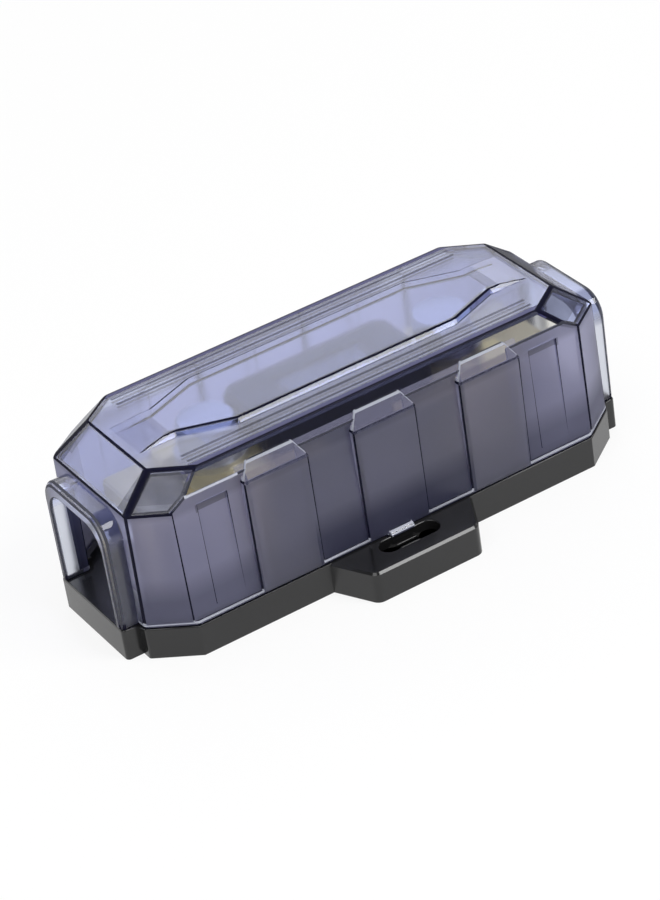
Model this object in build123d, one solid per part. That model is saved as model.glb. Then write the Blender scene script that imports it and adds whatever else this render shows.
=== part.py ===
from build123d import *
import math
import os

# Fuse holder for a bolt-down strip fuse, all sizes in mm.
# The origin is under the middle of the base, +X runs along the holder and +Z is up.

# strip fuse
stud_spacing = 61.0
blade_width = 22.0
blade_thickness = 2.0
blade_end_reach = 10.0
blade_slot_width = 8.8
link_width = 6.0
link_length = 18.0
link_hole_diameter = 3.0
fuse_body_clear_of_stud = 9.0
fuse_body_half_depth = 10.5
fuse_body_rise = 8.4
fuse_body_drop = 7.4
fuse_body_corner = 2.5
window_length = 20.0
window_width = 8.0
window_thickness = 1.5
window_ledge = 1.0
window_gap = 0.1
chamber_length = 24.0
chamber_width = 12.0
chamber_half_height = 3.2

# terminal blocks
block_height = 20.4
block_length = 28.0
block_gap = 2.5
block_chamfer = 0.8
bore_diameter = 11.0
bore_depth = 16.0
bore_above_floor = 9.4

# base
base_height = 7.6
end_room = 9.0
side_room = 12.4
lip_reach = 4.0
corner_run = 9.6
corner_depth = 7.1
lip_width = 27.4
floor_thickness = 2.4
skirt_thickness = 2.2
rib_thickness = 1.6
rib_spacing = 19.0
edge_break = 0.5

# mounting ears
ear_reach = 10.4
ear_root_width = 37.2
ear_front_width = 27.0
ear_corner_radius = 2.2
ear_hole_diameter = 4.3
ear_hole_spacing = 10.2
ear_hole_out = 3.2
ear_recess_length = 15.0
ear_recess_width = 4.8
ear_recess_depth = 2.4
ear_rib_length = 5.4
ear_rib_width = 0.6
ear_rib_height = 0.6
ear_rib_spacing = 1.6

# cover
cover_inset = 0.2
wall = 1.9
wall_draft = 0.6
recess_foot_depth = 0.6
recess_head_depth = 1.7
recess_head_rise = 2.2
corner_post = 8.9
roof_clearance = 3.5
shoulder_rise = 6.8
end_slope_run = 8.2
side_slope_run = 3.4
crown_run_loss = 0.8
flange_height = 1.0
panel_pitch = 27.3
panel_width = 16.0
panel_rise = 3.8
panel_neck = 2.5
panel_stand = 0.5
raised_height = 1.0
raised_half_width = 11.6
raised_neck_half_width = 6.6
raised_end_margin = 11.0
raised_neck_length = 9.3
raised_slant_length = 12.7
raised_ramp_length = 7.0
niche_width = 7.2
niche_from_end = 18.4
niche_depth = 0.7
niche_below_shoulder = 0.6
niche_above_base = 2.9

# cable hood at each end of the cover
hood_below_shoulder = 1.0
hood_radius = 6.0
hood_edge_break = 0.8
mouth_side_wall = 2.3
mouth_roof_wall = 3.2
mouth_radius = 5.6

# inner wall of the base, which the cover slips over
spigot_gap = 0.4
spigot_thickness = 1.4
spigot_height = 1.8
spigot_mouth_gap = 0.3

# snap tongue of the cover and its slit in the base
tongue_width = 6.6
tongue_thickness = 1.2
tongue_length = 4.6
slit_gap = 0.3
lug_reach = 1.3
lug_height = 1.0
lug_chamfer = 0.7

# fuse screws and washers
fuse_screw_diameter = 8.0
fuse_screw_head = 13.0
fuse_screw_head_height = 5.3
fuse_screw_grip = 9.0
thread_gap = 0.1
flat_washer_diameter = 16.0
flat_washer_thickness = 1.6
spring_washer_diameter = 13.6
spring_washer_thickness = 2.0
washer_bore = 8.4

# cable screws
cable_screw_diameter = 6.0
cable_screw_length = 6.2
cable_screw_from_end = 5.8
cable_screw_proud = 1.2
cable_screw_gap = 0.05
cable_screw_socket = 3.0
cable_screw_countersink = 0.8

# screws that hold each block down from below
block_screw_diameter = 4.0
block_screw_head = 7.6
block_screw_head_height = 2.4
block_screw_seat = 3.4
block_screw_reach = 8.0
block_screw_offset_y = 7.6
boss_diameter = 10.5

# reach of cutting boxes that run clear of the part
beyond = 100.0

# values that follow from the ones above
fuse_body_length = stud_spacing - 2 * fuse_body_clear_of_stud
blade_length = stud_spacing + 2 * blade_end_reach
block_width = blade_width
block_start = fuse_body_length / 2 + block_gap
block_end = block_start + block_length
block_top = base_height + block_height
bore_height = base_height + bore_above_floor
body_length = 2 * (block_end + end_room)
body_width = block_width + 2 * side_room
lip_length = body_length + 2 * lip_reach
cover_half_length = body_length / 2 - cover_inset
cover_half_width = body_width / 2 - cover_inset
corner_ratio = corner_run / corner_depth
blade_bottom = block_top
blade_top = blade_bottom + blade_thickness
blade_middle = blade_bottom + blade_thickness / 2
fuse_body_top = blade_middle + fuse_body_rise
fuse_body_bottom = blade_middle - fuse_body_drop
roof_height = fuse_body_top + roof_clearance + wall
wall_top = roof_height - shoulder_rise
hood_half_width = lip_width / 2 - cover_inset
hood_top = wall_top - hood_below_shoulder
mouth_half_width = hood_half_width - mouth_side_wall
mouth_top = hood_top - mouth_roof_wall
spigot_top = base_height + spigot_height
spigot_mouth_half_width = hood_half_width - spigot_mouth_gap
post_start = cover_half_length - corner_post
panel_bend = wall_top + (panel_stand - wall_draft) * shoulder_rise / side_slope_run
niche_middle = cover_half_length - niche_from_end
niche_top = wall_top - niche_below_shoulder
niche_bottom = base_height + niche_above_base
raised_end = body_length / 2 - raised_end_margin
raised_neck_start = raised_end - raised_neck_length
raised_long_half = raised_neck_start - raised_slant_length
ear_hole_offset = body_width / 2 + ear_hole_out
recess_foot = base_height + flange_height
recess_head = wall_top + recess_head_rise
cable_screw_offset = block_end - cable_screw_from_end
block_screw_offset_x = (block_start + block_end) / 2
inner_half_length = cover_half_length - wall
side_slope_length = math.hypot(side_slope_run, roof_height - wall_top)
end_slope_length = math.hypot(end_slope_run, roof_height - wall_top)


def box_between(low, high):
    """A box given by its two opposite corners."""
    size = [h - l for l, h in zip(low, high)]
    middle = [(h + l) / 2 for l, h in zip(low, high)]
    return Pos(*middle) * Box(*size)


def octagon(half_length, half_width, run, z):
    """An eight-sided outline whose corners are cut at one fixed slant."""
    depth = run / corner_ratio
    points = [
        (half_length, half_width - depth),
        (half_length - run, half_width),
        (run - half_length, half_width),
        (-half_length, half_width - depth),
        (-half_length, depth - half_width),
        (run - half_length, -half_width),
        (half_length - run, -half_width),
        (half_length, depth - half_width),
    ]
    return Pos(0, 0, z) * make_face(Polyline(*points, close=True))


def inset_run(distance):
    """Corner cut of the outline after every side moves in by the distance."""
    slant = math.hypot(corner_run, corner_depth)
    shift = distance * (corner_run + corner_depth - slant) / corner_depth
    return corner_run - shift


def prism(outline, height):
    return extrude(outline, amount=height, dir=(0, 0, 1))


def side_points(points, thickness, start):
    """Solid from an outline drawn in X and Z, grown towards +Y."""
    plane = Plane(origin=(0, start, 0), x_dir=(1, 0, 0), z_dir=(0, -1, 0))
    outline = plane * make_face(Polyline(*points, close=True))
    return extrude(outline, amount=thickness, dir=(0, 1, 0))


def end_plane(start):
    return Plane(origin=(start, 0, 0), x_dir=(0, 1, 0), z_dir=(1, 0, 0))


def end_points(points, start, reach):
    """Solid from an outline drawn in Y and Z, grown towards +X."""
    outline = end_plane(start) * make_face(Polyline(*points, close=True))
    return extrude(outline, amount=reach, dir=(1, 0, 0))


def arch(half_width, bottom, top, radius, start, reach):
    """Round-shouldered tunnel shape drawn in Y and Z, grown towards +X."""
    middle = (bottom + top) / 2
    outline = end_plane(start) * Pos(0, middle) * Rectangle(2 * half_width, top - bottom)
    upper = outline.vertices().group_by(Axis.Z)[-1]
    return extrude(fillet(upper, radius), amount=reach, dir=(1, 0, 0))


def both_ends(solid):
    return solid + Rot(0, 0, 180) * solid


def faceted_body(inset, bottom):
    """Eight-sided body with leaning walls and sloped shoulders, moved in from the outside."""
    half_length = cover_half_length - inset
    half_width = cover_half_width - inset
    top = roof_height - inset
    rise = roof_height - wall_top
    # each slope is a plane moved in along its own normal
    side_cos = rise / side_slope_length
    side_shift = inset * (1 - side_slope_run / side_slope_length) / side_cos
    end_cos = rise / end_slope_length
    end_shift = inset * (1 - end_slope_run / end_slope_length) / end_cos
    shoulder = wall_top - inset * 0.4
    top_half_length = cover_half_length - wall_draft - end_slope_run - end_shift
    top_half_width = cover_half_width - wall_draft - side_slope_run - side_shift
    run = inset_run(cover_inset + inset)
    shoulder_run = inset_run(cover_inset + inset + wall_draft)
    lower = octagon(half_length, half_width, run, bottom)
    middle = octagon(half_length - wall_draft, half_width - wall_draft, shoulder_run, shoulder)
    upper = octagon(top_half_length, top_half_width, shoulder_run - crown_run_loss, top)
    return loft([lower, middle], ruled=True) + loft([middle, upper], ruled=True)


def slab(x_low, x_high):
    """Everything between two X values, as tall and as deep as the cover."""
    return box_between((x_low, -beyond, 0), (x_high, beyond, beyond))


def recess_half_width(z):
    """Half width across the two recessed walls, which lean in towards the roof."""
    share = (z - recess_foot) / (recess_head - recess_foot)
    return cover_half_width - recess_foot_depth - share * (recess_head_depth - recess_foot_depth)


def recessed_core(inset):
    """Everything between the two recessed walls, moved in from the outside."""
    high = roof_height + raised_height
    wide = recess_half_width(0) - inset
    narrow = recess_half_width(high) - inset
    points = [(-wide, 0), (wide, 0), (narrow, high), (-narrow, high)]
    return end_points(points, -beyond, 2 * beyond)


def panel_middles():
    return [-panel_pitch, 0.0, panel_pitch]


def raised_outline(shrink):
    """Long roof panel, wide in the middle and narrow towards its ends."""
    wide = raised_half_width - shrink
    narrow = raised_neck_half_width - shrink
    far = raised_end - shrink
    quarter = [
        (raised_long_half, wide),
        (raised_neck_start, narrow),
        (far, narrow),
    ]
    front = quarter + [(x, -y) for x, y in reversed(quarter)]
    back = [(-x, y) for x, y in reversed(front)]
    return make_face(Polyline(*front, *back, close=True))


def raised_roof(shrink, bottom, top):
    """Raised roof panel, which runs out into the roof at both ends."""
    lower = Pos(0, 0, bottom) * raised_outline(shrink)
    upper = Pos(0, 0, top) * raised_outline(shrink + raised_height)
    end = raised_end - shrink
    ramp = end - raised_ramp_length
    profile = [(-end, bottom), (end, bottom), (ramp, top), (-ramp, top)]
    width = 2 * raised_half_width
    return loft([lower, upper], ruled=True) & side_points(profile, 2 * width, -width)


def panel(middle, side):
    """Raised wall panel with its top corners cut back, on the front or back."""
    half = panel_width / 2
    outer = cover_half_width
    top = wall_top + panel_rise
    lean = panel_stand + outer - wall_draft - panel_rise * side_slope_run / shoulder_rise
    profile = [
        (outer - 4, base_height),
        (outer, base_height),
        (outer, panel_bend),
        (lean, top),
        (lean - 1.2, top + 0.5),
        (outer - 4, top - 3.0),
    ]
    solid = end_points(profile, middle - half, panel_width)
    face = side_points(
        [
            (middle - half, base_height),
            (middle + half, base_height),
            (middle + half, wall_top + 0.4),
            (middle + half - panel_neck, top + 0.6),
            (middle - half + panel_neck, top + 0.6),
            (middle - half, wall_top + 0.4),
        ],
        12,
        outer - 10,
    )
    solid = solid & face
    return solid if side > 0 else mirror(solid, about=Plane.XZ)


def cover_skin():
    full = faceted_body(0, base_height)
    skin = full & recessed_core(0)
    skin += full & slab(post_start, beyond)
    skin += full & slab(-beyond, -post_start)
    for middle in panel_middles():
        skin += panel(middle, 1)
        skin += panel(middle, -1)
    flange = octagon(cover_half_length, cover_half_width, inset_run(cover_inset), base_height)
    skin += prism(flange, flange_height)
    skin += raised_roof(0, roof_height - 0.01, roof_height + raised_height)
    return skin


def cover_hollow():
    full = faceted_body(wall, base_height - 1)
    hollow = full & recessed_core(wall)
    half = panel_width / 2 - wall
    for middle in panel_middles():
        hollow += full & slab(middle - half, middle + half)
    hollow += raised_roof(wall, roof_height - wall - 0.01, roof_height + raised_height - wall)
    return hollow


def niche(middle, side):
    """Shallow niche in the recessed wall, deepest under its top edge."""
    top_wall = recess_half_width(niche_top)
    bottom_wall = recess_half_width(niche_bottom)
    points = [
        (top_wall - niche_depth, niche_top),
        (top_wall + niche_depth, niche_top),
        (bottom_wall + niche_depth, niche_bottom),
        (bottom_wall, niche_bottom),
    ]
    cut = end_points(points, middle - niche_width / 2, niche_width)
    return cut if side > 0 else mirror(cut, about=Plane.XZ)


def snap_tongue(side):
    """Tongue that drops into the ear, with the small lug above it."""
    half = tongue_width / 2
    outer = cover_half_width
    inner = outer - tongue_thickness
    tongue = box_between((-half, inner, base_height - tongue_length), (half, outer, base_height + 0.5))
    bead = Pos(0, outer, base_height - tongue_length + 1.2) * Rot(0, 90, 0) * Cylinder(0.2, tongue_width)
    lug = box_between(
        (-half + 0.3, outer - 0.5, base_height),
        (half - 0.3, outer + lug_reach, base_height + lug_height),
    )
    lug = chamfer(lug.edges().filter_by(Axis.X).group_by(Axis.Z)[-1].sort_by(Axis.Y)[-1], lug_chamfer)
    part = tongue + bead + lug
    return part if side > 0 else mirror(part, about=Plane.XZ)


def make_cover():
    cover = cover_skin()
    reach = lip_length / 2 - inner_half_length
    hood = arch(hood_half_width, base_height, hood_top, hood_radius, inner_half_length, reach)
    rim = hood.edges().group_by(Axis.X)[-1].filter_by(lambda e: e.center().Z > base_height + 0.1)
    hood = chamfer(rim, hood_edge_break)
    cover += both_ends(hood)
    cover -= cover_hollow()
    mouth = arch(mouth_half_width, base_height - 1, mouth_top, mouth_radius, inner_half_length - 4, 14)
    cover -= both_ends(mouth)
    for side in (-1, 1):
        cover -= niche(niche_middle, side)
        cover -= niche(-niche_middle, side)
        cover += snap_tongue(side)
    return cover


def ear(side):
    """Mounting ear with an oblong recess, a screw hole in each end of it and two low ribs between."""
    root = body_width / 2
    front = root + ear_reach
    points = [
        (-ear_root_width / 2, root - 3),
        (-ear_root_width / 2, root),
        (-ear_front_width / 2, front),
        (ear_front_width / 2, front),
        (ear_root_width / 2, root),
        (ear_root_width / 2, root - 3),
    ]
    solid = prism(make_face(Polyline(*points, close=True)), base_height)
    uprights = solid.edges().filter_by(Axis.Z).filter_by(lambda e: e.center().Y > front - 0.1)
    solid = fillet(uprights, ear_corner_radius)
    rim = solid.edges().group_by(Axis.Z)[-1].filter_by(lambda e: e.center().Y > root + 0.1)
    solid = chamfer(rim, edge_break)
    recess = Pos(0, ear_hole_offset, base_height - ear_recess_depth)
    recess *= extrude(SlotOverall(ear_recess_length, ear_recess_width), amount=ear_recess_depth + 1)
    solid -= recess
    floor = base_height - ear_recess_depth
    for y in (ear_hole_offset - ear_rib_spacing, ear_hole_offset):
        low = (-ear_rib_length / 2, y - ear_rib_width / 2, floor - 1)
        high = (ear_rib_length / 2, y + ear_rib_width / 2, floor + ear_rib_height)
        solid += box_between(low, high)
    for x in (-ear_hole_spacing / 2, ear_hole_spacing / 2):
        solid -= Pos(x, ear_hole_offset, base_height / 2) * Cylinder(ear_hole_diameter / 2, base_height + 2)
    return solid if side > 0 else mirror(solid, about=Plane.XZ)


def tongue_slit(side):
    half = tongue_width / 2 + slit_gap
    outer = cover_half_width + slit_gap
    inner = cover_half_width - tongue_thickness - slit_gap
    low = (-half, inner, base_height - tongue_length - slit_gap)
    high = (half, outer, base_height + 1)
    slit = box_between(low, high)
    return slit if side > 0 else mirror(slit, about=Plane.XZ)


def block_screw_spots():
    spots = []
    for x in (-block_screw_offset_x, block_screw_offset_x):
        for y in (-block_screw_offset_y, block_screw_offset_y):
            spots.append((x, y))
    return spots


def spigot():
    """Upright inner wall that the cover slips over."""
    inset = wall + spigot_gap
    half_length = cover_half_length - inset
    half_width = cover_half_width - recess_foot_depth - inset
    run = inset_run(inset) - recess_foot_depth * corner_ratio
    height = spigot_top - base_height
    outer = prism(octagon(half_length, half_width, run, base_height), height)
    thin = spigot_thickness
    inner_run = run - thin * 0.53
    inner = prism(octagon(half_length - thin, half_width - thin, inner_run, base_height), height)
    gap = spigot_mouth_half_width
    passage = box_between((-beyond, -gap, base_height), (beyond, gap, spigot_top + 1))
    return outer - inner - passage


def underside_pockets():
    """Open pockets between the ribs, as a moulded base has."""
    inset = skirt_thickness
    half_length = body_length / 2 - inset
    half_width = body_width / 2 - inset
    depth = base_height - floor_thickness
    hollow = prism(octagon(half_length, half_width, inset_run(inset), -1), depth + 1)
    count = int(body_length / rib_spacing / 2) + 1
    for index in range(-count, count + 1):
        x = index * rib_spacing
        low = (x - rib_thickness / 2, -beyond, -2)
        high = (x + rib_thickness / 2, beyond, base_height)
        hollow -= box_between(low, high)
    hollow -= box_between((-beyond, -rib_thickness / 2, -2), (beyond, rib_thickness / 2, base_height))
    for x, y in block_screw_spots():
        hollow -= Pos(x, y, base_height / 2) * Cylinder(boss_diameter / 2, base_height + 6)
    # the snap slits keep solid plastic around them
    half = tongue_width / 2 + slit_gap + 1.6
    keep = body_width / 2 - skirt_thickness - 2.4
    hollow -= box_between((-half, keep, -2), (half, beyond, base_height))
    hollow -= box_between((-half, -beyond, -2), (half, -keep, base_height))
    return hollow


def make_base():
    base = prism(octagon(body_length / 2, body_width / 2, corner_run, 0), base_height)
    lip = box_between(
        (-lip_length / 2, -lip_width / 2, 0),
        (lip_length / 2, lip_width / 2, base_height),
    )
    corners = lip.edges().filter_by(Axis.Z)
    lip = fillet(corners, 1.0)
    base += lip
    base -= underside_pockets()
    for side in (-1, 1):
        base += ear(side)
        base -= tongue_slit(side)
    base += spigot()
    for x, y in block_screw_spots():
        base -= Pos(x, y, base_height / 2) * Cylinder(block_screw_diameter / 2 + thread_gap, 20)
        counterbore = block_screw_head / 2 + 0.3
        base -= Pos(x, y, (block_screw_seat - 2) / 2) * Cylinder(counterbore, block_screw_seat + 2)
    return base


def cable_screw_hole(side):
    """Hole from the front face into the cable bore, flared at its mouth."""
    radius = cable_screw_diameter / 2 + cable_screw_gap
    flare = cable_screw_countersink
    # the left block is a half turn of the right one, so its front is the other face
    front = -side * block_width / 2
    inward = Rot(90, 0, 0) if side > 0 else Rot(-90, 0, 0)
    hole = Pos(cable_screw_offset, front / 2, bore_height) * inward * Cylinder(radius, block_width / 2 + 0.1)
    mouth = Pos(cable_screw_offset, front, bore_height) * inward
    mouth *= Pos(0, 0, -flare / 2) * Cone(radius, radius + flare, flare)
    return hole + mouth


def make_block(side):
    """Terminal block with a cable bore, a set screw hole in front and a fuse screw hole."""
    middle = (block_start + block_end) / 2
    length = block_end - block_start
    height = block_top - base_height
    block = Pos(middle, 0, base_height + height / 2) * Box(length, block_width, height)
    block = chamfer(block.edges().filter_by(Axis.Z), block_chamfer)
    block = chamfer(block.edges().group_by(Axis.Z)[-1], block_chamfer / 2)
    bore = Pos(block_end - bore_depth / 2 + 1, 0, bore_height) * Rot(0, 90, 0)
    block -= bore * Cylinder(bore_diameter / 2, bore_depth + 2)
    block -= cable_screw_hole(side)
    fuse_hole = fuse_screw_diameter / 2 + thread_gap
    depth = fuse_screw_grip + 1.0
    block -= Pos(stud_spacing / 2, 0, block_top - depth / 2) * Cylinder(fuse_hole, depth)
    for y in (-block_screw_offset_y, block_screw_offset_y):
        hole = block_screw_diameter / 2 + thread_gap
        reach = block_screw_reach + 1.0
        block -= Pos(block_screw_offset_x, y, base_height + reach / 2) * Cylinder(hole, reach)
    return block if side > 0 else Rot(0, 0, 180) * block


def make_blade():
    """Strip of the fuse with open-ended slots and a narrow melting link."""
    strip = box_between(
        (-blade_length / 2, -blade_width / 2, blade_bottom),
        (blade_length / 2, blade_width / 2, blade_top),
    )
    strip = chamfer(strip.edges().filter_by(Axis.Z), 1.5)
    for side in (-1, 1):
        x = side * stud_spacing / 2
        strip -= Pos(x, 0, blade_middle) * Cylinder(blade_slot_width / 2, 6)
        end = side * (blade_length / 2 + 1)
        low = (min(x, end), -blade_slot_width / 2, blade_bottom - 1)
        high = (max(x, end), blade_slot_width / 2, blade_top + 1)
        strip -= box_between(low, high)
        notch_low = min(side * link_width / 2, side * blade_width)
        notch_high = max(side * link_width / 2, side * blade_width)
        notch = box_between(
            (-link_length / 2, notch_low, blade_bottom - 1),
            (link_length / 2, notch_high, blade_top + 1),
        )
        strip -= notch
    strip -= Pos(0, 0, blade_middle) * Cylinder(link_hole_diameter / 2, 6)
    return strip


def fuse_body_block(bottom, top):
    half_length = fuse_body_length / 2
    half_width = fuse_body_half_depth
    solid = box_between((-half_length, -half_width, bottom), (half_length, half_width, top))
    return chamfer(solid.edges().filter_by(Axis.Z), fuse_body_corner)


def fuse_chamber():
    low = (-chamber_length / 2, -chamber_width / 2, blade_middle - chamber_half_height)
    high = (chamber_length / 2, chamber_width / 2, blade_middle + chamber_half_height)
    return box_between(low, high)


def blade_passage():
    """Room for the strip where it passes through the moulded body."""
    half_width = 2 * fuse_body_half_depth
    return box_between(
        (-fuse_body_length, -half_width, blade_bottom),
        (fuse_body_length, half_width, blade_top),
    )


def strip_fill():
    """Plastic that fills the passage beside the narrow link."""
    return box_between(
        (-link_length / 2 + 0.1, -fuse_body_half_depth, blade_bottom),
        (link_length / 2 - 0.1, fuse_body_half_depth, blade_top),
    ) - box_between(
        (-link_length / 2, -chamber_width / 2, blade_bottom - 1),
        (link_length / 2, chamber_width / 2, blade_top + 1),
    )


def make_fuse_lower():
    body = fuse_body_block(fuse_body_bottom, blade_middle)
    body = chamfer(body.edges().group_by(Axis.Z)[0], 1.0)
    body -= blade_passage()
    body += strip_fill() & fuse_body_block(blade_bottom, blade_middle)
    return body - fuse_chamber()


def make_fuse_upper():
    body = fuse_body_block(blade_middle, fuse_body_top)
    body = chamfer(body.edges().group_by(Axis.Z)[-1], 1.0)
    body -= blade_passage()
    body += strip_fill() & fuse_body_block(blade_middle, blade_top)
    body -= fuse_chamber()
    opening_low = (-window_length / 2, -window_width / 2, blade_top)
    opening_high = (window_length / 2, window_width / 2, fuse_body_top + 1)
    body -= box_between(opening_low, opening_high)
    grow = window_ledge
    seat_low = (-window_length / 2 - grow, -window_width / 2 - grow, fuse_body_top - window_thickness)
    seat_high = (window_length / 2 + grow, window_width / 2 + grow, fuse_body_top + 1)
    return body - box_between(seat_low, seat_high)


def make_fuse_window():
    grow = window_ledge - window_gap
    low = (-window_length / 2 - grow, -window_width / 2 - grow, fuse_body_top - window_thickness)
    high = (window_length / 2 + grow, window_width / 2 + grow, fuse_body_top - 0.1)
    return box_between(low, high)


def make_flat_washer(x):
    ring = Cylinder(flat_washer_diameter / 2, flat_washer_thickness)
    ring -= Cylinder(washer_bore / 2, flat_washer_thickness + 1)
    return Pos(x, 0, blade_top + flat_washer_thickness / 2) * ring


def make_spring_washer(x):
    ring = Cylinder(spring_washer_diameter / 2, spring_washer_thickness)
    ring -= Cylinder(washer_bore / 2, spring_washer_thickness + 1)
    split = Pos(0, -spring_washer_diameter / 2, 0) * Rot(0, 25, 0)
    split *= Box(0.9, spring_washer_diameter, spring_washer_thickness * 2.5)
    level = blade_top + flat_washer_thickness + spring_washer_thickness / 2
    return Pos(x, 0, level) * Rot(0, 0, 50) * (ring - split)


def make_fuse_screw(x):
    seat = blade_top + flat_washer_thickness + spring_washer_thickness
    hexagon = RegularPolygon(fuse_screw_head / 2, 6, major_radius=False)
    head = extrude(hexagon, amount=fuse_screw_head_height)
    crown = Cone(
        fuse_screw_head / 2 + 3.2,
        fuse_screw_head / 2 - 0.4,
        fuse_screw_head_height,
        align=(Align.CENTER, Align.CENTER, Align.MIN),
    )
    head = head & crown
    length = seat - (block_top - fuse_screw_grip)
    shank = Pos(0, 0, -length / 2) * Cylinder(fuse_screw_diameter / 2, length)
    return Pos(x, 0, seat) * (head + shank)


def make_cable_screw(x):
    """Set screw with a hexagon socket, driven in from the front of the block."""
    body = Cylinder(cable_screw_diameter / 2, cable_screw_length)
    body = chamfer(body.edges().group_by(Axis.Z)[0], 1.2)
    body = chamfer(body.edges().group_by(Axis.Z)[-1], 0.4)
    socket = extrude(RegularPolygon(cable_screw_socket / 2, 6, major_radius=False), amount=4)
    body -= Pos(0, 0, cable_screw_length / 2 - 3.2) * socket
    front = -block_width / 2 - cable_screw_proud
    return Pos(x, front + cable_screw_length / 2, bore_height) * Rot(90, 0, 0) * body


def make_block_screw(x, y):
    """Pan-head screw with a cross recess, driven up into the block."""
    head = Cylinder(block_screw_head / 2, block_screw_head_height)
    head = chamfer(head.edges().group_by(Axis.Z)[0], 0.7)
    slot_depth = 1.3
    for turn in (0, 90):
        slot = Box(4.2, 0.9, slot_depth)
        head -= Pos(0, 0, (slot_depth - block_screw_head_height) / 2) * Rot(0, 0, turn) * slot
    length = base_height - block_screw_seat + block_screw_reach
    shank = Pos(0, 0, (block_screw_head_height + length) / 2) * Cylinder(block_screw_diameter / 2, length)
    middle = block_screw_seat - block_screw_head_height / 2
    return Pos(x, y, middle) * (head + shank)


def save(name, solid):
    export_step(solid, "parts/" + name + ".step")


os.makedirs("parts", exist_ok=True)

save("base", make_base())
save("cover", make_cover())
save("block_left", make_block(-1))
save("block_right", make_block(1))
save("fuse_blade", make_blade())
save("fuse_body_lower", make_fuse_lower())
save("fuse_body_upper", make_fuse_upper())
save("fuse_window", make_fuse_window())

for end_name, end_side in (("left", -1), ("right", 1)):
    stud_x = end_side * stud_spacing / 2
    save("flat_washer_" + end_name, make_flat_washer(stud_x))
    save("spring_washer_" + end_name, make_spring_washer(stud_x))
    save("fuse_screw_" + end_name, make_fuse_screw(stud_x))
    save("cable_screw_" + end_name, make_cable_screw(end_side * cable_screw_offset))
    for row_name, row_side in (("front", -1), ("back", 1)):
        screw_x = end_side * block_screw_offset_x
        screw_y = row_side * block_screw_offset_y
        save("block_screw_" + end_name + "_" + row_name, make_block_screw(screw_x, screw_y))
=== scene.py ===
import bpy
import math
from mathutils import Matrix, Vector

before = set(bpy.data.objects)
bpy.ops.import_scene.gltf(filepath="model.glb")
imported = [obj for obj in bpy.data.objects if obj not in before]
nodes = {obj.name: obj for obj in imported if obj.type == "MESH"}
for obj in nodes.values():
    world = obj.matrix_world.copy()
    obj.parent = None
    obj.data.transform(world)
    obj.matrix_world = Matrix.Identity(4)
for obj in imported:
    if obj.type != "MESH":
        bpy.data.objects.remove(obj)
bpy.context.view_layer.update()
millimetre = 0.001
print("frame loaded, pieces:", len(nodes))

# the camera stands where the photograph was taken from, with the same small tilt
cameraLook = {
    "place": (-0.28896, -0.55039, 0.41929),
    "right": (0.834781, -0.534400, -0.132505),
    "up": (0.387524, 0.399330, 0.830879),
    "lens": 134.04,
    "sensor": 36.0,
    "shiftX": -0.00682,
    "shiftY": -0.01209,
    "nearest": 0.01,
    "furthest": 50.0,
}


def makeCamera(look):
    data = bpy.data.cameras.new("camera")
    data.lens = look["lens"]
    data.sensor_width = look["sensor"]
    data.shift_x = look["shiftX"]
    data.shift_y = look["shiftY"]
    data.clip_start = look["nearest"]
    data.clip_end = look["furthest"]
    camera = bpy.data.objects.new("camera", data)
    bpy.context.scene.collection.objects.link(camera)
    right = Vector(look["right"]).normalized()
    up = Vector(look["up"]).normalized()
    back = right.cross(up)
    turn = Matrix((right, up, back)).transposed().to_4x4()
    camera.matrix_world = Matrix.Translation(look["place"]) @ turn
    bpy.context.scene.camera = camera


makeCamera(cameraLook)
bpy.context.scene.view_settings.view_transform = "Standard"
print("camera made")


# a number inside a shader, so that sums on it can be written as plain Python
class Value:
    def __init__(self, graph, socket):
        self.graph = graph
        self.socket = socket

    def sum(self, operation, left, right=0.0):
        return self.graph.node("ShaderNodeMath", {"operation": operation}, {0: left, 1: right})

    def __add__(self, other):
        return self.sum("ADD", self, other)

    def __radd__(self, other):
        return self.sum("ADD", other, self)

    def __sub__(self, other):
        return self.sum("SUBTRACT", self, other)

    def __rsub__(self, other):
        return self.sum("SUBTRACT", other, self)

    def __mul__(self, other):
        return self.sum("MULTIPLY", self, other)

    def __rmul__(self, other):
        return self.sum("MULTIPLY", other, self)

    def __truediv__(self, other):
        return self.sum("DIVIDE", self, other)

    def __rtruediv__(self, other):
        return self.sum("DIVIDE", other, self)

    def atMost(self, other):
        return self.sum("MINIMUM", self, other)

    def atLeast(self, other):
        return self.sum("MAXIMUM", self, other)

    def clamped(self):
        return self.atLeast(0.0).atMost(1.0)

    def above(self, other):
        return self.sum("GREATER_THAN", self, other)

    def between(self, low, high):
        return self.above(low) * (high - self).above(0.0)

    def size(self):
        return self.sum("ABSOLUTE", self)


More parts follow.
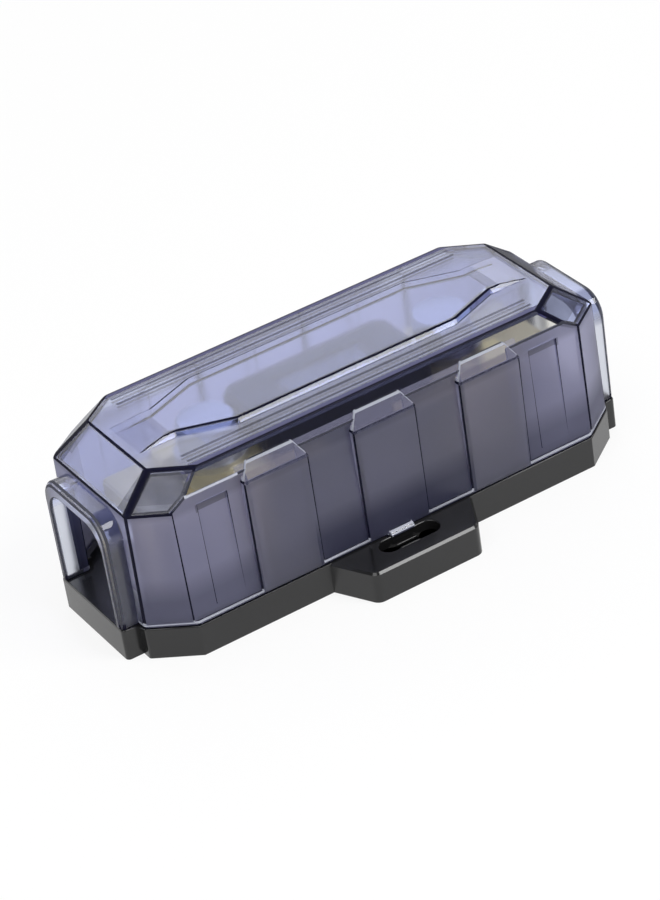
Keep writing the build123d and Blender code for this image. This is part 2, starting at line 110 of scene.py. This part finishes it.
# the nodes of one material, of the world or of a modifier
class Graph:
    def __init__(self, tree):
        self.tree = tree
        tree.nodes.clear()

    def feed(self, socket, value):
        if isinstance(value, Value):
            self.tree.links.new(value.socket, socket)
        else:
            socket.default_value = value

    def node(self, kind, settings=None, sockets=None, out=0):
        made = self.tree.nodes.new(kind)
        for name, setting in (settings or {}).items():
            setattr(made, name, setting)
        for name, value in (sockets or {}).items():
            self.feed(made.inputs[name], value)
        if not made.outputs:
            return made
        return Value(self, made.outputs[out])

    # the inputs go by number, because the Mix nodes use each name more than once
    def mixColour(self, factor, first, second):
        sockets = {0: factor, 6: first, 7: second}
        return self.node("ShaderNodeMix", {"data_type": "RGBA"}, sockets, out=2)

    def mixShader(self, factor, first, second):
        return self.node("ShaderNodeMixShader", {}, {0: factor, 1: first, 2: second})

    def here(self):
        return self.node("ShaderNodeTexCoord", out="Object")

    def part(self, vector, letter):
        return self.node("ShaderNodeSeparateXYZ", {}, {"Vector": vector}, out=letter)

    def ray(self, kind):
        return self.node("ShaderNodeLightPath", out="Is " + kind + " Ray")

    # the looks give a noise as its scale, its detail and in places how far it is stretched
    def noise(self, scale, detail, stretch=(1.0, 1.0, 1.0)):
        place = self.node("ShaderNodeMapping", {}, {"Vector": self.here(), "Scale": stretch})
        sockets = {"Vector": place, "Scale": scale, "Detail": detail}
        return self.node("ShaderNodeTexNoise", {}, sockets)

    def bump(self, height, distance, strength, below=None):
        sockets = {"Height": height, "Distance": distance, "Strength": strength}
        if below is not None:
            sockets["Normal"] = below
        return self.node("ShaderNodeBump", {}, sockets)


def newMaterial(name):
    material = bpy.data.materials.new(name)
    material.use_nodes = True
    return material, Graph(material.node_tree)


def finishSurface(graph, shader):
    graph.node("ShaderNodeOutputMaterial", {}, {"Surface": shader})


def dress(material, *names):
    for name in names:
        mesh = nodes[name].data
        mesh.materials.clear()
        mesh.materials.append(material)


# where the surface lies, with X and Y taken without their sign
def placeOf(graph, vector):
    place = {letter: graph.part(vector, letter) for letter in "XYZ"}
    place["signedX"] = place["X"]
    place["X"] = place["X"].size()
    place["Y"] = place["Y"].size()
    return place


# 1 inside a box given in mm, and 0 outside; a near box lies on the end at negative X alone
def inZone(place, zone):
    share = 1.0
    for letter in ("X", "Y", "Z"):
        if letter in zone:
            low, high = zone[letter]
            share = place[letter].between(low * millimetre, high * millimetre) * share
    if zone.get("near"):
        share = (0.0 - place["signedX"]).above(0.0) * share
    return share


# how edges are rounded, with angles in degrees and lengths in metres
rounding = {
    "weld": 0.000002,
    "flat": 0.05,
    "limit": 30.0,
    "crisp": 12.0,
    "hollow": 30.0,
    "segments": 2,
}


# gives each edge that sticks out further than the limit a weight for the bevel, and keeps the
# other edges that aren't smooth sharp; the zones' widths are in mm, and a later zone wins
def planEdges(thing, width, limit, crisp, zones, hollows):
    group = bpy.data.node_groups.new("edges_" + thing.name, "GeometryNodeTree")
    for way in ("INPUT", "OUTPUT"):
        group.interface.new_socket("Geometry", in_out=way, socket_type="NodeSocketGeometry")
    graph = Graph(group)
    angle = graph.node("GeometryNodeInputMeshEdgeAngle", out="Signed Angle")
    place = placeOf(graph, graph.node("GeometryNodeInputPosition", out="Position"))
    outward = angle.above(math.radians(limit))
    inward = (0.0 - angle).above(math.radians(rounding["hollow"]))
    weight = outward
    for zone in zones:
        share = zone["width"] * millimetre / width
        weight = weight + inZone(place, zone) * outward * (share - weight)
    for zone in hollows:
        share = zone["width"] * millimetre / width
        weight = weight.atLeast(inZone(place, zone) * inward * share)
    smooth = 1.0 - angle.size().above(math.radians(crisp)) * (1.0 - weight.above(0.0))
    mesh = graph.node("NodeGroupInput", out="Geometry")
    # the stored normals no longer fit once faces are joined
    sockets = {"Geometry": mesh, "Name": "custom_normal"}
    mesh = graph.node("GeometryNodeRemoveAttribute", {}, sockets)
    settings = {"data_type": "FLOAT", "domain": "EDGE"}
    sockets = {"Geometry": mesh, "Name": "bevel_weight_edge", "Value": weight}
    mesh = graph.node("GeometryNodeStoreNamedAttribute", settings, sockets)
    sockets = {0: mesh, "Shade Smooth": smooth.above(0.5)}
    mesh = graph.node("GeometryNodeSetShadeSmooth", {"domain": "EDGE"}, sockets)
    graph.node("NodeGroupOutput", {}, {"Geometry": mesh})
    thing.modifiers.new("edges", "NODES").node_group = group


# rounds the sharp edges of a CAD piece a little, as moulding and machining leave them
def soften(name, width, limit=rounding["limit"], crisp=rounding["crisp"], zones=(), hollows=(),
           edgeMaterial=None):
    thing = nodes[name]
    weld = thing.modifiers.new("weld", "WELD")
    weld.merge_threshold = rounding["weld"]
    flatten = thing.modifiers.new("flatten", "DECIMATE")
    flatten.decimate_type = "DISSOLVE"
    flatten.angle_limit = math.radians(rounding["flat"])
    planEdges(thing, width, limit, crisp, zones, hollows)
    bevel = thing.modifiers.new("bevel", "BEVEL")
    bevel.width = width
    bevel.use_clamp_overlap = False
    bevel.segments = rounding["segments"]
    bevel.limit_method = "WEIGHT"
    bevel.harden_normals = True
    bevel.miter_outer = "MITER_ARC"
    if edgeMaterial is not None:
        thing.data.materials.append(edgeMaterial)
        bevel.material = len(thing.data.materials) - 1
    for face in thing.data.polygons:
        face.use_smooth = True


# cover, smoke-tinted clear plastic, a little hazy and least so on its polished roof
# the boxes are in mm, and upright goes from 0 on the roof to 1 on the walls
coverLook = {
    "roofTint": (0.55, 0.61, 0.90, 1.0),
    "wallTint": (0.46, 0.45, 0.58, 1.0),
    "cloud": (60.0, 2.0),
    "tintCloud": 0.1,
    "haze": (0.30, 0.30, 0.44, 1.0),
    "leastHaze": 0.01,
    "roofHaze": 0.035,
    "wallHaze": 0.09,
    "shadow": (0.70, 0.72, 0.82, 1.0),
    "polished": 0.03,
    "cloudMatt": 0.04,
    "roofMatt": 0.10,
    "wallMatt": 0.30,
    "wallUpright": 0.62,
    "wallRise": 2.6,
    "roofFall": 6.0,
    "endFrom": 32.0 * millimetre,
    "endReach": 9.0 * millimetre,
    "endHaze": 0.26,
    # painted shade: a dark band under each niche's top edge and on the jambs of the end openings
    "niche": {"X": (38.6, 46.6), "Y": (20.0, 24.0), "Z": (33.6, 35.5)},
    "nicheShade": 0.75,
    "nicheShadeColour": (0.02, 0.02, 0.05, 1.0),
    "jamb": {"X": (56.0, 61.4), "Y": (10.9, 11.6), "Z": (9.0, 28.0)},
    "hoodFrom": 60.6 * millimetre,
    "hoodTint": (0.80, 0.83, 0.90, 1.0),
    "hoodClear": 0.7,
    "slopeUpright": (0.45, 0.65),
    "slopeZone": {"X": (-1.0, 50.0)},
    "slopeTint": (0.10, 0.10, 0.22, 1.0),
    "slopeShare": 0.85,
    "slopeEndTint": (0.84, 0.83, 0.78, 1.0),
    "slopeMatt": 0.08,
    "slopeTo": 29.0 * millimetre,
    "slopeReach": 3.0 * millimetre,
    "cap": {"X": (0, 36), "Y": (20.7, 23.3), "Z": (35.9, 39.7)},
    "capHaze": 0.30,
    "flatTop": 43.0 * millimetre,
    "flatEnd": 44.0 * millimetre,
    "stripes": [{"Y": (13.4, 14.2)}, {"Y": (16.0, 16.7)}],
    "stripeTint": 0.5,
    "stripeDepth": 0.5,
    "rim": {"X": (0, 46), "Y": (17.6, 19.7), "Z": (41.8, 42.9)},
    "rimUpright": (-0.1, 0.65),
    "rimDepth": 0.8,
    # painted shade on the corner slopes, mottled by streaks
    "corner": {"X": (46, 60), "Y": (12.0, 21.0), "Z": (36.4, 42.7)},
    "cornerUpright": (0.2, 0.4),
    "cornerShade": 0.30,
    "streaks": (160.0, 2.0, (1.0, 0.3, 1.0)),
    "streakMiddle": 0.35,
    "streakShade": 0.5,
    # painted shade towards the base of the walls and just under the slopes
    "footFrom": 20.0 * millimetre,
    "footReach": 6.0 * millimetre,
    "footShade": 0.46,
    "footCloud": (0.7, 0.6),
    "outerPanel": {"X": (20.4, 34.6)},
    "outerClear": 0.85,
    "headFrom": 34.0 * millimetre,
    "headReach": 1.5 * millimetre,
    "headShade": 0.25,
    "deep": (0.022, 0.024, 0.050, 1.0),
    "violet": (0.080, 0.080, 0.170, 1.0),
    "ior": 1.49,
    "wave": (45.0, 1.0),
    "waveDepth": 0.00006,
    "fine": (900.0, 2.0),
    "fineDepth": 0.000004,
    "bumpShare": 0.5,
}


# plastic lets light through to what it shades, in the colour of its shadow
def throughPlastic(graph, shader, shadow):
    clear = graph.node("ShaderNodeBsdfTransparent", {}, {"Color": shadow})
    return graph.mixShader(graph.ray("Shadow"), shader, clear)


# how far a spot of the cover counts as wall, roof, hood and so on, from 0 to 1
def coverShares(graph, look, place):
    normal = graph.node("ShaderNodeNewGeometry", out="Normal")
    upright = 1.0 - graph.part(normal, "Z").size()
    wall = ((upright - look["wallUpright"]) * look["wallRise"]).clamped()
    roof = (1.0 - upright * look["roofFall"]).atLeast(0.0)
    hood = place["X"].above(look["hoodFrom"]) * wall
    end = ((place["X"] - look["endFrom"]) / look["endReach"]).clamped() * wall
    slope = upright.between(*look["slopeUpright"]) * inZone(place, look["slopeZone"])
    middle = ((look["slopeTo"] - place["X"]) / look["slopeReach"]).clamped() * slope
    cap = inZone(place, look["cap"]) * slope
    flat = roof * (look["flatTop"] - place["Z"]).above(0.0)
    flat = flat * (look["flatEnd"] - place["X"]).above(0.0)
    niche = inZone(place, look["niche"])
    jamb = inZone(place, look["jamb"])
    return {
        "upright": upright,
        "wall": wall,
        "roof": roof,
        "hood": hood,
        "end": end - end * hood,
        "slope": slope,
        "cap": cap,
        "middle": (middle - cap).atLeast(0.0),
        "jamb": jamb,
        # painted shade in the niche band and on the jambs
        "shaded": (niche + jamb) * look["nicheShade"],
        "rim": inZone(place, look["rim"]) * upright.between(*look["rimUpright"]),
        "stripes": [inZone(place, stripe) * flat for stripe in look["stripes"]],
    }


def coverTint(graph, look, share, cloud):
    cloudy = 1.0 - look["tintCloud"] + look["tintCloud"] * cloud
    tint = graph.mixColour(share["wall"] * cloudy, look["roofTint"], look["wallTint"])
    tint = graph.mixColour(share["hood"], tint, look["hoodTint"])
    tint = graph.mixColour(share["slope"], tint, look["slopeEndTint"])
    tint = graph.mixColour(share["middle"] * look["slopeShare"], tint, look["slopeTint"])
    for stripe in share["stripes"]:
        tint = graph.mixColour(stripe * look["stripeTint"], tint, look["slopeTint"])
    # painted shade turns the niche band and the jambs dark
    return graph.mixColour(share["shaded"], tint, look["nicheShadeColour"])


# how much of the plastic is seen as deep colour, from thick plastic and from painted shade
def coverThickAndShade(graph, look, place, share, cloud):
    # thick corners of the moulding, where the tint adds up, and painted shade on the jambs
    depth = (share["rim"] * look["rimDepth"]).atLeast(share["jamb"] * look["rimDepth"])
    # painted shade on the corner slopes, mottled by streaks
    corner = inZone(place, look["corner"]) * share["upright"].between(*look["cornerUpright"])
    streaks = graph.noise(*look["streaks"]) - look["streakMiddle"]
    depth = depth.atLeast(corner * (look["cornerShade"] + look["streakShade"] * streaks))
    # painted shade: the walls darken towards the base, least so in the outer panels, and just
    # under the slopes
    foot = ((look["footFrom"] - place["Z"]) / look["footReach"]).clamped()
    outer = look["footShade"] * look["outerClear"] * inZone(place, look["outerPanel"])
    least, more = look["footCloud"]
    foot = foot * (look["footShade"] - outer) * (least + more * cloud)
    head = ((place["Z"] - look["headFrom"]) / look["headReach"]).clamped() * look["headShade"]
    depth = depth.atLeast((foot + head) * share["wall"] * (1.0 - share["hood"]))
    for stripe in share["stripes"]:
        depth = depth.atLeast(stripe * look["stripeDepth"])
    return depth


def coverPlastic(look):
    material, graph = newMaterial("coverPlastic")
    cloud = graph.noise(*look["cloud"])
    wave = graph.bump(graph.noise(*look["wave"]), look["waveDepth"], look["bumpShare"])
    grain = graph.bump(graph.noise(*look["fine"]), look["fineDepth"], look["bumpShare"], wave)
    place = placeOf(graph, graph.here())
    share = coverShares(graph, look, place)
    roughness = look["polished"] + look["roofMatt"] * share["roof"]
    roughness = roughness + look["wallMatt"] * share["wall"] + look["cloudMatt"] * cloud
    glass = graph.node("ShaderNodeBsdfPrincipled", {}, {
        "Base Color": coverTint(graph, look, share, cloud),
        "Roughness": roughness + look["slopeMatt"] * share["slope"],
        "IOR": look["ior"],
        "Transmission Weight": 1.0,
        "Normal": grain,
    })

    def dull(colour):
        return graph.node("ShaderNodeBsdfDiffuse", {}, {"Color": colour, "Normal": grain})

    haze = look["roofHaze"] * share["roof"] + look["wallHaze"] * share["wall"]
    haze = haze + look["endHaze"] * share["end"] + look["leastHaze"]
    haze = haze * (1.0 - share["shaded"]) * (1.0 - look["hoodClear"] * share["hood"])
    body = graph.mixShader(haze + look["capHaze"] * share["cap"], glass, dull(look["haze"]))
    # the deep part stands for thick plastic and for painted shade; its colours stay uniform, so
    # that only a mix varies over the surface
    violet = share["roof"] * share["rim"]
    deep = graph.mixShader(violet, dull(look["deep"]), dull(look["violet"]))
    body = graph.mixShader(coverThickAndShade(graph, look, place, share, cloud), body, deep)
    finishSurface(graph, throughPlastic(graph, body, look["shadow"]))
    return material


# rounded edges of the cover, painted almost black where the light is bent away,
# apart from the flange and the tops of the wall panels, which get a painted highlight
edgeLook = {
    "width": 2.0 * millimetre,
    "limit": 20.0,
    "crisp": 7.8,
    "dark": (0.005, 0.005, 0.016, 1.0),
    "violet": (0.085, 0.080, 0.22, 1.0),
    "violetZone": {"X": (0, 46), "Y": (16.5, 18.9), "Z": (39.5, 41.4)},
    "pale": (0.50, 0.52, 0.60, 1.0),
    "shadow": (0.25, 0.27, 0.34, 1.0),
    "clear": 0.15,
    "roughness": 0.20,
    "sheen": 0.0,
    "cloud": (80.0, 2.0),
    "paleCloud": 0.3,
    "cloudMatt": 0.1,
}
# the width in mm of the rounded edges in each box, and their tone from painted dark to painted
# highlight
edgeZones = [
    {"Z": (0, 60), "width": 0.35, "tone": 0.0},
    {"X": (60.5, 66), "Z": (9, 36), "width": 0.35, "tone": 0.15},
    {"X": (0, 44.5), "Y": (18.5, 20.2), "Z": (41.8, 43.2), "width": 1.5, "tone": 0.0},
    {"X": (43, 53), "Y": (0, 19.5), "Z": (42, 42.95), "width": 0.7, "tone": 0.0},
    {"X": (44, 61), "Y": (12, 22), "Z": (36.4, 42), "width": 0.6, "tone": 0.0},
    {"X": (44, 50), "Y": (12, 22), "Z": (36.4, 42), "near": True, "width": 0.3, "tone": 0.1},
    {"X": (50, 61), "Y": (12, 20), "Z": (36.4, 42), "near": True, "width": 1.1, "tone": 0.0},
    {"X": (51, 61), "Y": (0, 23), "Z": (35.5, 36.4), "width": 0.36, "tone": 0.0},
    {"X": (58, 61), "Y": (15, 17), "Z": (9, 35.5), "width": 0.5, "tone": 0.0},
    {"X": (0, 36), "Y": (20.4, 23.0), "Z": (36.6, 40.6), "width": 0.35, "tone": 0.9},
    {"X": (0, 52), "Y": (21.1, 21.75), "Z": (36.4, 38.6), "width": 0.25, "tone": 0.1},
    # painted highlight on the recess top edge at the near end alone
    {"X": (35.5, 48.5), "Y": (20.9, 22.6), "Z": (36.2, 38.6), "near": True, "width": 0.3,
     "tone": 1.4},
    {"Y": (22.9, 23.5), "Z": (35.4, 36.2), "width": 0.0, "tone": 0.0},
    {"X": (0, 50), "Z": (42.95, 44), "width": 0.42, "tone": 0.0},
    {"X": (37, 50), "Z": (42.85, 44), "width": 0.14, "tone": 0.0},
    {"X": (0, 61), "Z": (8.2, 9.0), "width": 0.35, "tone": 1.0},
    {"X": (0, 3.4), "Y": (23, 25), "Z": (7.5, 9.0), "width": 0.25, "tone": 2.0},
    {"X": (38, 47), "Y": (21, 22.4), "Z": (10, 35.6), "width": 0.15, "tone": 0.0},
    {"X": (51, 53), "Y": (21.5, 23), "Z": (9, 35.4), "width": 0.8, "tone": 0.0},
    {"X": (51, 53), "Y": (21.5, 23), "Z": (9, 35.4), "near": True, "width": 0.45, "tone": 0.0},
]
# edges of the hollow under the roof and its slopes
hollowZones = [
    {"X": (45, 59), "Y": (0, 20), "Z": (34.5, 41.5), "width": 0.35},
    {"X": (0, 45), "Y": (17.5, 18.5), "Z": (40.5, 41.5), "width": 0.9},
]


def coverEdge(look, zones):
    material, graph = newMaterial("coverEdge")
    cloud = graph.noise(*look["cloud"])
    place = placeOf(graph, graph.here())
    # tone mixes the painted dark edges with painted highlights
    tone = 0.0
    for zone in zones:
        tone = tone + inZone(place, zone) * (zone["tone"] - tone)
    cloudy = 1.0 - look["paleCloud"] + look["paleCloud"] * cloud
    colour = graph.mixColour(tone * cloudy, look["dark"], look["pale"])
    violet = inZone(place, look["violetZone"])
    shader = graph.node("ShaderNodeBsdfPrincipled", {}, {
        "Base Color": graph.mixColour(violet, colour, look["violet"]),
        "Roughness": look["roughness"] + look["cloudMatt"] * cloud,
        "Specular IOR Level": look["sheen"],
        "Transmission Weight": look["clear"],
    })
    finishSurface(graph, throughPlastic(graph, shader, look["shadow"]))
    return material


dress(coverPlastic(coverLook), "cover")
soften("cover", edgeLook["width"], edgeLook["limit"], edgeLook["crisp"], edgeZones, hollowZones,
       coverEdge(edgeLook, edgeZones))
print("cover dressed")


# base, black moulded plastic; the edges of its underside, which lie in the square zone, stay sharp
baseLook = {
    "dark": (0.006, 0.006, 0.0065, 1.0),
    "worn": (0.014, 0.014, 0.0145, 1.0),
    "cloud": (35.0, 4.0),
    "roughness": 0.13,
    "cloudMatt": 0.12,
    "ior": 1.51,
    "grain": (2600.0, 2.0),
    "grainDepth": 0.00001,
    "grainShare": 0.25,
    "edge": 0.35 * millimetre,
    "edgeLimit": 50.0,
    "square": {"Z": (-1.0, 1.5), "width": 0.0},
}


def basePlastic(look):
    material, graph = newMaterial("basePlastic")
    cloud = graph.noise(*look["cloud"])
    grain = graph.noise(*look["grain"])
    shader = graph.node("ShaderNodeBsdfPrincipled", {}, {
        "Base Color": graph.mixColour(cloud, look["dark"], look["worn"]),
        "Roughness": look["roughness"] + look["cloudMatt"] * cloud,
        "IOR": look["ior"],
        "Normal": graph.bump(grain, look["grainDepth"], look["grainShare"]),
    })
    finishSurface(graph, shader)
    return material


dress(basePlastic(baseLook), "base")
soften("base", baseLook["edge"], baseLook["edgeLimit"], zones=[baseLook["square"]])
print("base dressed")


# metals, each with a brushed or plated finish, whose lines run along the smallest stretch
terminalLook = {
    "light": (0.78, 0.70, 0.46, 1.0),
    "deep": (0.58, 0.51, 0.32, 1.0),
    "roughness": 0.38,
    "stretch": (0.06, 1.0, 1.0),
    "edge": 0.25 * millimetre,
}
stripLook = {
    "light": (0.92, 0.83, 0.50, 1.0),
    "deep": (0.78, 0.66, 0.34, 1.0),
    "roughness": 0.36,
    "stretch": (0.06, 1.0, 1.0),
}
zincLook = {
    "light": (0.60, 0.60, 0.59, 1.0),
    "deep": (0.42, 0.42, 0.41, 1.0),
    "roughness": 0.30,
    "stretch": (1.0, 1.0, 0.1),
}
oxideLook = {
    "light": (0.075, 0.075, 0.082, 1.0),
    "deep": (0.03, 0.03, 0.034, 1.0),
    "roughness": 0.38,
    "stretch": (1.0, 1.0, 1.0),
}
metalGrain = {
    "cloud": (70.0, 4.0),
    "cloudTone": 0.7,
    "cloudMatt": 0.12,
    "lines": (1500.0, 2.0),
    "lineTone": 0.3,
    "lineMatt": 0.08,
    "lineDepth": 0.00001,
    "lineShare": 0.4,
}


def metal(name, look, grain):
    material, graph = newMaterial(name)
    cloud = graph.noise(*grain["cloud"])
    lines = graph.noise(*grain["lines"], look["stretch"])
    tone = cloud * grain["cloudTone"] + lines * grain["lineTone"]
    matt = look["roughness"] + grain["cloudMatt"] * cloud + grain["lineMatt"] * lines
    shader = graph.node("ShaderNodeBsdfPrincipled", {}, {
        "Base Color": graph.mixColour(tone, look["deep"], look["light"]),
        "Metallic": 1.0,
        "Roughness": matt,
        "Normal": graph.bump(lines, grain["lineDepth"], grain["lineShare"]),
    })
    finishSurface(graph, shader)
    return material


dress(metal("terminalMetal", terminalLook, metalGrain), "block_left", "block_right")
dress(metal("stripMetal", stripLook, metalGrain), "fuse_blade")
zinc = metal("zincPlate", zincLook, metalGrain)
oxide = metal("blackOxide", oxideLook, metalGrain)
for end in ("left", "right"):
    dress(zinc, "flat_washer_" + end, "spring_washer_" + end, "fuse_screw_" + end)
    dress(zinc, "block_screw_" + end + "_front", "block_screw_" + end + "_back")
    dress(oxide, "cable_screw_" + end)
    soften("block_" + end, terminalLook["edge"])
print("metals dressed")


# fuse body and its clear lens
fuseLook = {
    "dark": (0.020, 0.022, 0.030, 1.0),
    "pale": (0.040, 0.043, 0.055, 1.0),
    "cloud": (90.0, 4.0),
    "roughness": 0.42,
    "cloudMatt": 0.15,
    "grain": (2200.0, 2.0),
    "grainDepth": 0.00003,
    "grainShare": 0.4,
}
lensLook = {
    "tint": (0.95, 0.96, 0.98, 1.0),
    "dim": (0.88, 0.90, 0.93, 1.0),
    "cloud": (140.0, 3.0),
    "roughness": 0.06,
    "cloudMatt": 0.06,
    "ior": 1.49,
}


def fuseMoulding(look):
    material, graph = newMaterial("fuseMoulding")
    cloud = graph.noise(*look["cloud"])
    grain = graph.noise(*look["grain"])
    shader = graph.node("ShaderNodeBsdfPrincipled", {}, {
        "Base Color": graph.mixColour(cloud, look["dark"], look["pale"]),
        "Roughness": look["roughness"] + look["cloudMatt"] * cloud,
        "Normal": graph.bump(grain, look["grainDepth"], look["grainShare"]),
    })
    finishSurface(graph, shader)
    return material


def lensPlastic(look):
    material, graph = newMaterial("lensPlastic")
    cloud = graph.noise(*look["cloud"])
    shader = graph.node("ShaderNodeBsdfPrincipled", {}, {
        "Base Color": graph.mixColour(cloud, look["tint"], look["dim"]),
        "Roughness": look["roughness"] + look["cloudMatt"] * cloud,
        "IOR": look["ior"],
        "Transmission Weight": 1.0,
    })
    finishSurface(graph, shader)
    return material


dress(fuseMoulding(fuseLook), "fuse_body_lower", "fuse_body_upper")
dress(lensPlastic(lensLook), "fuse_window")
print("fuse dressed")


# pale floor, white surroundings under a darker ceiling, and soft studio lamps
studio = {
    "floorSize": 12.0,
    "floorDrop": 0.00005,
    "floorTone": (0.86, 0.86, 0.86, 1.0),
    "floorDim": (0.84, 0.84, 0.84, 1.0),
    "floorCloud": (3.0, 2.0),
    "floorGlow": 0.85,
    "flagStart": {"X": 0.075, "Y": 0.03},
    "flagReach": 0.03,
    "flagTone": (0.05, 0.05, 0.06, 1.0),
    "white": (1.0, 1.0, 1.0, 1.0),
    "ambient": (0.50, 0.50, 0.50, 1.0),
    "ceiling": (0.16, 0.16, 0.17, 1.0),
    "ceilingFrom": 0.34,
    "ceilingFull": 0.62,
    "front": (0.10, 0.10, 0.11, 1.0),
    "frontFrom": 0.2,
    "frontRise": 3.0,
    "frontFoot": 0.06,
    "footRise": 10.0,
    "aim": (0.0, 0.0, 0.02),
    "lamps": [
        {"name": "frontLamp", "place": (0.42, -0.58, 0.80), "size": 0.45, "power": 6.0},
        {"name": "endLamp", "place": (-0.70, 0.95, 0.50), "size": 0.6, "power": 2.2},
        {"name": "keyLamp", "place": (-0.55, -0.45, 0.95), "size": 0.7, "power": 4.0},
        {"name": "backLamp", "place": (0.43, 0.82, 0.60), "size": 0.6, "power": 2.0},
    ],
}


# 1 for what is looked at, mirrored or seen through plastic, and 0 for what lights the scene
def seenRay(graph):
    return graph.ray("Camera").atLeast(graph.ray("Glossy")).atLeast(graph.ray("Transmission"))


def floorSurface(look):
    material, graph = newMaterial("floorPaper")
    tones = [graph.node("ShaderNodeBsdfDiffuse", {}, {"Color": look[name]})
             for name in ("floorTone", "floorDim")]
    paper = graph.mixShader(graph.noise(*look["floorCloud"]), *tones)
    # a dark flag beyond the far end shows in mirror reflections alone
    here = graph.here()
    flag = graph.ray("Glossy")
    for letter, start in look["flagStart"].items():
        flag = flag * ((graph.part(here, letter) - start) / look["flagReach"]).clamped()
    lights = [graph.node("ShaderNodeEmission", {}, {"Color": look[name], "Strength": 1.0})
              for name in ("white", "flagTone")]
    glow = graph.mixShader(flag, *lights)
    finishSurface(graph, graph.mixShader(seenRay(graph) * look["floorGlow"], paper, glow))
    return material


def makeFloor(look):
    half = look["floorSize"] / 2
    mesh = bpy.data.meshes.new("floor")
    corners = [(-half, -half, 0), (half, -half, 0), (half, half, 0), (-half, half, 0)]
    mesh.from_pydata(corners, [], [(0, 1, 2, 3)])
    floor = bpy.data.objects.new("floor", mesh)
    floor.location.z = -look["floorDrop"]
    bpy.context.scene.collection.objects.link(floor)
    mesh.materials.append(floorSurface(look))


def makeWorld(look):
    world = bpy.data.worlds.new("studio")
    bpy.context.scene.world = world
    world.use_nodes = True
    graph = Graph(world.node_tree)
    direction = graph.node("ShaderNodeTexCoord", out="Generated")
    height = graph.part(direction, "Z")
    depth = graph.part(direction, "Y")
    reach = look["ceilingFull"] - look["ceilingFrom"]
    overhead = ((height - look["ceilingFrom"]) / reach).clamped()
    around = graph.mixColour(overhead, look["white"], look["ceiling"])
    front = ((0.0 - depth - look["frontFrom"]) * look["frontRise"]).clamped()
    front = front * ((height - look["frontFoot"]) * look["footRise"]).clamped()
    around = graph.mixColour(front, around, look["front"])
    seen = graph.mixColour(graph.ray("Camera"), around, look["white"])
    shade = graph.mixColour(seenRay(graph), look["ambient"], seen)
    light = graph.node("ShaderNodeBackground", {}, {"Color": shade, "Strength": 1.0})
    graph.node("ShaderNodeOutputWorld", {}, {"Surface": light})


def makeLamps(look):
    aim = Vector(look["aim"])
    for lamp in look["lamps"]:
        data = bpy.data.lights.new(lamp["name"], "AREA")
        data.size = lamp["size"]
        data.energy = lamp["power"]
        thing = bpy.data.objects.new(lamp["name"], data)
        thing.location = lamp["place"]
        thing.rotation_euler = (aim - thing.location).to_track_quat("-Z", "Y").to_euler()
        bpy.context.scene.collection.objects.link(thing)


makeFloor(studio)
makeWorld(studio)
makeLamps(studio)
print("studio made")
